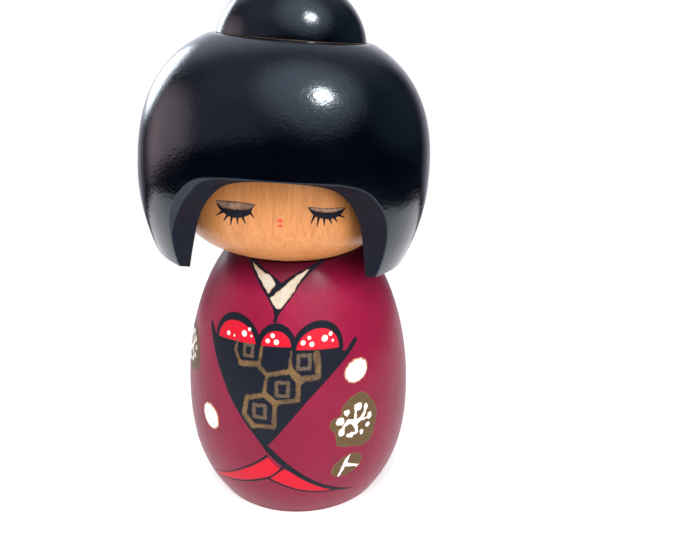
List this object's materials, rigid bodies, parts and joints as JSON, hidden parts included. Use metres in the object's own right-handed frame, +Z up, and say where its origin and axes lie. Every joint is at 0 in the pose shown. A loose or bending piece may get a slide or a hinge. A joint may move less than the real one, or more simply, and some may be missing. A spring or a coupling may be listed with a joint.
{
  "type": "turned wooden doll",
  "caption": "Turned wooden doll with an egg-shaped lacquered body, a ball head that swivels on a peg, a bobbed hair cap with a sawn face window, and a top-knot bun.",
  "frame": {"origin": "centre of the flat base", "axes": "+Z up along the body's turning axis, the face and the sawn window look along -Y, +X is the doll's own left"},
  "size_m": [0.0826, 0.0823, 0.1512],
  "materials": {
    "red_lacquer": "satin crimson lacquer on turned wood",
    "black_lacquer": "glossy black lacquer on turned wood",
    "face_wood": "clear satin varnish on fine-grained wood",
    "dowel_wood": "bare wood",
    "paint": "hand-brushed paint, black, red, gold, cream and white"
  },
  "bodies": {
    "root": {"body": "red_lacquer", "neck_peg": "dowel_wood"},
    "head_unit": {"head": "face_wood", "hair_cap": "black_lacquer", "crown_dowel": "dowel_wood", "bun": "black_lacquer"}
  },
  "joints": [
    {"name": "head_swivel", "type": "hinge", "parent": "root", "child": "head_unit", "pos_m": [-0.0044, 0, 0.0761], "axis": [0.0732, 0, 0.9973], "continuous": true}
  ]
}
